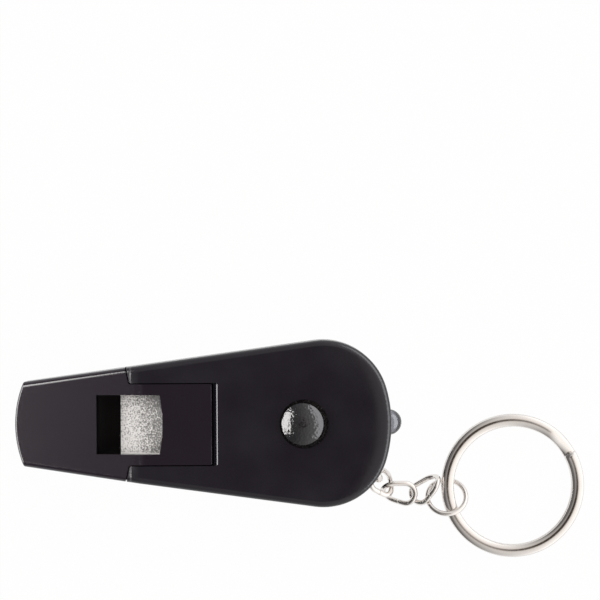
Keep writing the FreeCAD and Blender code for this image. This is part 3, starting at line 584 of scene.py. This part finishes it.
def pale_floor():
    """A wide sheet that reads white and keeps a faint contact shadow."""
    bm = bmesh.new()
    bmesh.ops.create_grid(bm, x_segments=1, y_segments=1, size=3.0)
    bmesh.ops.translate(bm, verts=bm.verts, vec=(0, 0, -0.02 * mm))
    mesh = bpy.data.meshes.new("studio_floor")
    bm.to_mesh(mesh)
    bm.free()
    material, tree, shader = finish_of("floor_white", (0.9, 0.9, 0.9), 0.9)
    glow = tree.nodes.new("ShaderNodeEmission")
    mix = tree.nodes.new("ShaderNodeMixShader")
    rays = tree.nodes.new("ShaderNodeLightPath")
    seen = arithmetic(tree, "ADD", rays.outputs["Is Camera Ray"], rays.outputs["Is Glossy Ray"])
    seen = arithmetic(tree, "ADD", seen, rays.outputs["Is Transmission Ray"], clamp=True)
    tree.links.new(arithmetic(tree, "MULTIPLY", seen, floor_glow), mix.inputs[0])
    tree.links.new(shader.outputs[0], mix.inputs[1])
    tree.links.new(glow.outputs[0], mix.inputs[2])
    tree.links.new(mix.outputs[0], tree.nodes["Material Output"].inputs["Surface"])
    mesh.materials.append(material)
    floor = bpy.data.objects.new("studio_floor", mesh)
    bpy.context.scene.collection.objects.link(floor)


def soft_lamp(name, azimuth, elevation, distance, width, height, power, colour):
    """A soft box aimed at the whistle, flagged off the metal. Azimuth 0 is the ring's side."""
    light = bpy.data.lights.new(name, "AREA")
    light.shape = "RECTANGLE"
    light.size, light.size_y = width, height
    light.energy = power
    light.color = colour
    lamp = bpy.data.objects.new(name, light)
    a, e = math.radians(azimuth), math.radians(elevation)
    away = Vector((math.cos(a) * math.cos(e), math.sin(a) * math.cos(e), math.sin(e)))
    lamp.location = away * distance
    lamp.rotation_euler = away.to_track_quat("Z", "Y").to_euler()
    bpy.context.scene.collection.objects.link(lamp)
    lit = bpy.data.collections.new(name + "_lights")
    for node in ("back_shell", "front_cover", "whistle_top", "button_cap", "led_lens"):
        lit.objects.link(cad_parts[node])
    lamp.light_linking.receiver_collection = lit


def tent():
    """White surroundings for the camera, and a tent that is dark round the zenith."""
    world = bpy.data.worlds.new("tent")
    world.use_nodes = True
    tree = world.node_tree
    shade = tree.nodes["Background"]
    direction = tree.nodes.new("ShaderNodeTexCoord").outputs["Generated"]
    parts = tree.nodes.new("ShaderNodeSeparateXYZ")
    tree.links.new(direction, parts.inputs[0])
    ramp = tree.nodes.new("ShaderNodeValToRGB")
    tree.links.new(parts.outputs["Z"], ramp.inputs["Fac"])
    stops = [
        (0.0, (1.0, 0.99, 0.98)), (0.342, (1.0, 0.99, 0.98)), (0.643, (0.88, 0.86, 0.84)),
        (0.819, (0.86, 0.84, 0.82)), (0.940, (0.84, 0.81, 0.78)), (0.966, (0.72, 0.68, 0.65)),
        (0.980, (0.34, 0.31, 0.29)), (0.989, (0.06, 0.045, 0.038)),
    ]
    points = ramp.color_ramp.elements
    while len(points) < len(stops):
        points.new(0.5)
    for point, (where, colour) in zip(points, stops):
        point.position = where
        point.color = (*colour, 1.0)
    rays = tree.nodes.new("ShaderNodeLightPath")
    seen = two_tones(tree, rays.outputs["Is Camera Ray"], ramp.outputs["Color"], (1.0, 1.0, 1.0))
    tree.links.new(seen, shade.inputs["Color"])
    across = mapped(tree, parts.outputs["Y"], -1.0, 1.0, 0.90, 1.05)
    along = mapped(tree, parts.outputs["X"], -0.50, 0.50, 0.18, 1.52)
    side = arithmetic(tree, "MULTIPLY", across, along)
    even = arithmetic(tree, "MAXIMUM", side, rays.outputs["Is Camera Ray"])
    tree.links.new(even, shade.inputs["Strength"])
    bpy.context.scene.world = world


pale_floor()
tent()
soft_lamp("window_side", 173.0, 27.0, 0.55, 0.70, 0.34, 11.5, (1.0, 0.985, 0.965))
soft_lamp("ring_side", 10.0, 22.0, 0.7, 2.0, 0.50, 10.5, (0.95, 0.95, 1.0))

# Camera: straight above the whistle's middle, with the framing of the product picture, in
# which the whistle lies in the lower half.

camera_data = bpy.data.cameras.new("camera")
camera_data.sensor_width = 36.0
camera_data.lens = 187.05
camera_data.clip_start, camera_data.clip_end = 0.01, 20.0
camera = bpy.data.objects.new("camera", camera_data)
camera_above, camera_roll = 597.0 * mm, -0.34
camera.location = (-0.646 * mm, 23.75 * mm, camera_above + level_top)
camera.rotation_euler = (0, 0, math.radians(camera_roll))
bpy.context.scene.collection.objects.link(camera)
bpy.context.scene.camera = camera
bpy.context.scene.view_settings.view_transform = "Standard"

bpy.context.view_layer.update()
